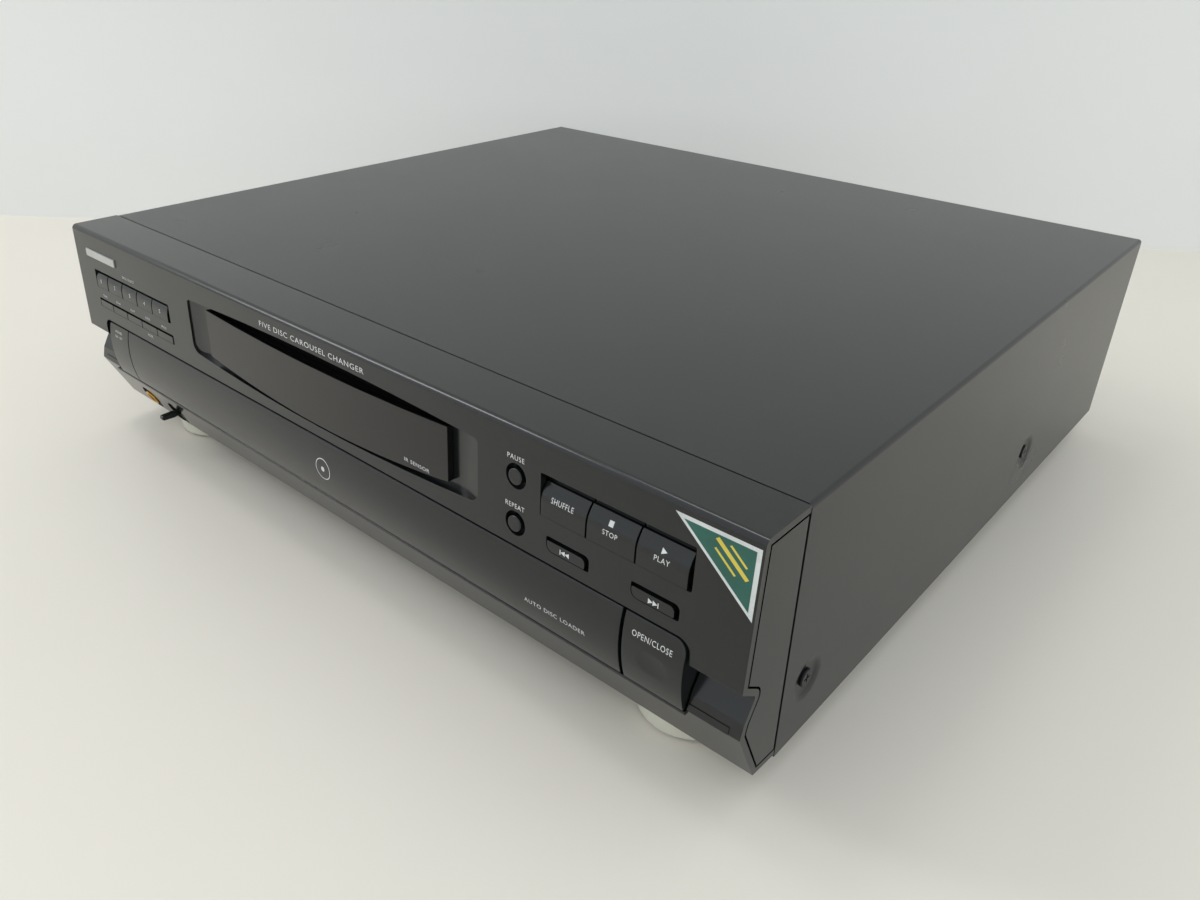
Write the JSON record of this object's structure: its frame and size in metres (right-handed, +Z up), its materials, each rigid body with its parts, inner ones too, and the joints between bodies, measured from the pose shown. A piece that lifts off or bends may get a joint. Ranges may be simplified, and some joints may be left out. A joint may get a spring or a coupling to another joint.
{
  "type": "carousel cd changer",
  "caption": "Hi-fi disc changer with a sliding drawer that carries a turning carousel, a player deck that tilts up under it, a clamp above, front keys, a level slider and a jack.",
  "frame": {"origin": "middle of the footprint, on the surface that the feet stand on", "axes": "+X to the right seen from the front, +Y to the rear, +Z up"},
  "size_m": [0.435, 0.397, 0.1176],
  "materials": {
    "fascia_abs": "fine matt moulding",
    "key_abs": "satin moulding",
    "lens_acrylic": "gloss, smoked",
    "cover_paint": "semi-matt black",
    "black_screw": "black zinc",
    "zinc_steel": "zinc plated",
    "foot_silver": "satin silver",
    "pad_rubber": "matt",
    "gilt": "polished",
    "black_part": "matt",
    "board": "laminate",
    "display_glass": "clear",
    "core_steel": "varnished laminations",
    "frame_abs": "matt",
    "gear_acetal": "natural",
    "motor_steel": "satin",
    "rod_steel": "ground",
    "belt_rubber": "matt"
  },
  "bodies": {
    "case": {"fascia": "fascia_abs", "end_cap_left": "fascia_abs", "end_cap_right": "fascia_abs", "display_lens": "lens_acrylic", "top_cover": "cover_paint", "case_screws": "black_screw", "chassis_pan": "zinc_steel", "rear_panel": "cover_paint", "feet": "foot_silver", "foot_pads": "pad_rubber", "line_sockets": "black_part", "mains_inlet": "black_part", "power_switch": "black_part", "headphone_jack": "gilt", "level_pot": "zinc_steel", "front_board": "board", "display_tube": "display_glass", "main_board": "board", "transformer": "core_steel", "loader_frame": "frame_abs", "drive_belt": "belt_rubber", "drawer_motor": "motor_steel", "clamp_bridge": "zinc_steel"},
    "drawer": {"tray": "frame_abs", "drawer_front": "fascia_abs", "carousel_motor": "motor_steel", "carousel_bolt": "zinc_steel"},
    "carousel": {"carousel": "frame_abs"},
    "carousel_pinion": {"carousel_pinion": "gear_acetal"},
    "drive_gear": {"drive_gear": "gear_acetal"},
    "motor_pulley": {"motor_pulley": "gear_acetal"},
    "deck": {"deck_frame": "frame_abs", "guide_rods": "rod_steel", "spindle_motor": "motor_steel", "sled_motor": "motor_steel"},
    "sled": {"pickup_sled": "black_part"},
    "sled_gear": {"sled_gear": "gear_acetal"},
    "platter": {"disc_platter": "black_part"},
    "lift_cam": {"lift_cam": "gear_acetal"},
    "clamp": {"clamp_puck": "black_part"},
    "level_slider": {"level_slider": "black_part"},
    "power_button": {"power_button": "key_abs"},
    "open_close_button": {"open_close_button": "key_abs"},
    "pause_button": {"pause_button": "key_abs"},
    "repeat_button": {"repeat_button": "key_abs"},
    "shuffle_button": {"shuffle_button": "key_abs"},
    "stop_button": {"stop_button": "key_abs"},
    "play_button": {"play_button": "key_abs"},
    "previous_button": {"previous_button": "key_abs"},
    "next_button": {"next_button": "key_abs"},
    "disc_button_1": {"disc_button_1": "key_abs"},
    "disc_button_2": {"disc_button_2": "key_abs"},
    "disc_button_3": {"disc_button_3": "key_abs"},
    "disc_button_4": {"disc_button_4": "key_abs"},
    "disc_button_5": {"disc_button_5": "key_abs"},
    "mode_button_1": {"mode_button_1": "key_abs"},
    "mode_button_2": {"mode_button_2": "key_abs"},
    "mode_button_3": {"mode_button_3": "key_abs"},
    "mode_button_4": {"mode_button_4": "key_abs"},
    "mode_button_5": {"mode_button_5": "key_abs"}
  },
  "joints": [
    {"name": "drawer_slide", "type": "slide", "parent": "case", "child": "drawer", "axis": [0, -1, 0], "range_m": [0, 0.24]},
    {"name": "carousel_turn", "type": "hinge", "parent": "drawer", "child": "carousel", "pos_m": [0, -0.0233, 0.0626], "axis": [0, 0, 1], "continuous": true},
    {"name": "pinion_turn", "type": "hinge", "parent": "drawer", "child": "carousel_pinion", "pos_m": [0.12318, 0.09988, 0.0606], "axis": [0, 0, 1], "continuous": true},
    {"name": "drive_gear_turn", "type": "hinge", "parent": "case", "child": "drive_gear", "pos_m": [-0.1339, -0.1333, 0.0386], "axis": [0, 0, 1], "range_deg": [0, 1147]},
    {"name": "motor_pulley_turn", "type": "hinge", "parent": "case", "child": "motor_pulley", "pos_m": [-0.0899, -0.1333, 0.0376], "axis": [0, 0, 1], "range_deg": [0, 5158]},
    {"name": "deck_lift", "type": "hinge", "parent": "case", "child": "deck", "pos_m": [0, 0.1517, 0.0466], "axis": [-1, 0, 0], "range_deg": [0, 7.2]},
    {"name": "cam_slide", "type": "slide", "parent": "case", "child": "lift_cam", "axis": [1, 0, 0], "range_m": [0, 0.0361]},
    {"name": "sled_slide", "type": "slide", "parent": "deck", "child": "sled", "axis": [0, -0.9921, -0.1253], "range_m": [0, 0.035]},
    {"name": "sled_gear_turn", "type": "hinge", "parent": "deck", "child": "sled_gear", "pos_m": [-0.0381, 0.0415, 0.02764], "axis": [0, -0.1253, 0.9921], "range_deg": [-336, 0]},
    {"name": "platter_spin", "type": "hinge", "parent": "deck", "child": "platter", "pos_m": [0, 0.07968, 0.04859], "axis": [0, -0.1253, 0.9921], "continuous": true},
    {"name": "clamp_spin", "type": "hinge", "parent": "case", "child": "clamp", "pos_m": [0, 0.0805, 0.0726], "axis": [0, 0, 1], "continuous": true},
    {"name": "level_slide", "type": "slide", "parent": "case", "child": "level_slider", "axis": [1, 0, 0], "range_m": [-0.0055, 0.0055]},
    {"name": "power_press", "type": "slide", "parent": "case", "child": "power_button", "axis": [0, 1, 0], "range_m": [0, 0.003], "stiffness_N_per_m": 500},
    {"name": "open_close_press", "type": "slide", "parent": "case", "child": "open_close_button", "axis": [0, 1, 0], "range_m": [0, 0.0012], "stiffness_N_per_m": 700},
    {"name": "pause_press", "type": "slide", "parent": "case", "child": "pause_button", "axis": [0, 0.9985, -0.0555], "range_m": [0, 0.001], "stiffness_N_per_m": 600},
    {"name": "repeat_press", "type": "slide", "parent": "case", "child": "repeat_button", "axis": [0, 0.9985, -0.0555], "range_m": [0, 0.001], "stiffness_N_per_m": 600},
    {"name": "shuffle_press", "type": "slide", "parent": "case", "child": "shuffle_button", "axis": [0, 0.9985, -0.0555], "range_m": [0, 0.001], "stiffness_N_per_m": 600},
    {"name": "stop_press", "type": "slide", "parent": "case", "child": "stop_button", "axis": [0, 0.9985, -0.0555], "range_m": [0, 0.001], "stiffness_N_per_m": 600},
    {"name": "play_press", "type": "slide", "parent": "case", "child": "play_button", "axis": [0, 0.9985, -0.0555], "range_m": [0, 0.001], "stiffness_N_per_m": 600},
    {"name": "previous_press", "type": "slide", "parent": "case", "child": "previous_button", "axis": [0, 0.9985, -0.0555], "range_m": [0, 0.001], "stiffness_N_per_m": 600},
    {"name": "next_press", "type": "slide", "parent": "case", "child": "next_button", "axis": [0, 0.9985, -0.0555], "range_m": [0, 0.001], "stiffness_N_per_m": 600},
    {"name": "disc_press_1", "type": "slide", "parent": "case", "child": "disc_button_1", "axis": [0, 0.9985, -0.0555], "range_m": [0, 0.001], "stiffness_N_per_m": 600},
    {"name": "disc_press_2", "type": "slide", "parent": "case", "child": "disc_button_2", "axis": [0, 0.9985, -0.0555], "range_m": [0, 0.001], "stiffness_N_per_m": 600},
    {"name": "disc_press_3", "type": "slide", "parent": "case", "child": "disc_button_3", "axis": [0, 0.9985, -0.0555], "range_m": [0, 0.001], "stiffness_N_per_m": 600},
    {"name": "disc_press_4", "type": "slide", "parent": "case", "child": "disc_button_4", "axis": [0, 0.9985, -0.0555], "range_m": [0, 0.001], "stiffness_N_per_m": 600},
    {"name": "disc_press_5", "type": "slide", "parent": "case", "child": "disc_button_5", "axis": [0, 0.9985, -0.0555], "range_m": [0, 0.001], "stiffness_N_per_m": 600},
    {"name": "mode_press_1", "type": "slide", "parent": "case", "child": "mode_button_1", "axis": [0, 0.9985, -0.0555], "range_m": [0, 0.001], "stiffness_N_per_m": 600},
    {"name": "mode_press_2", "type": "slide", "parent": "case", "child": "mode_button_2", "axis": [0, 0.9985, -0.0555], "range_m": [0, 0.001], "stiffness_N_per_m": 600},
    {"name": "mode_press_3", "type": "slide", "parent": "case", "child": "mode_button_3", "axis": [0, 0.9985, -0.0555], "range_m": [0, 0.001], "stiffness_N_per_m": 600},
    {"name": "mode_press_4", "type": "slide", "parent": "case", "child": "mode_button_4", "axis": [0, 0.9985, -0.0555], "range_m": [0, 0.001], "stiffness_N_per_m": 600},
    {"name": "mode_press_5", "type": "slide", "parent": "case", "child": "mode_button_5", "axis": [0, 0.9985, -0.0555], "range_m": [0, 0.001], "stiffness_N_per_m": 600}
  ],
  "couplings": [
    {"joint": "pinion_turn", "follows": "carousel_turn", "ratio": -18.333},
    {"joint": "drive_gear_turn", "follows": "drawer_slide", "rad_per_m": 83.333},
    {"joint": "motor_pulley_turn", "follows": "drawer_slide", "rad_per_m": 375},
    {"joint": "cam_slide", "follows": "deck_lift", "m_per_rad": 0.28648},
    {"joint": "sled_gear_turn", "follows": "sled_slide", "rad_per_m": -166.67}
  ]
}
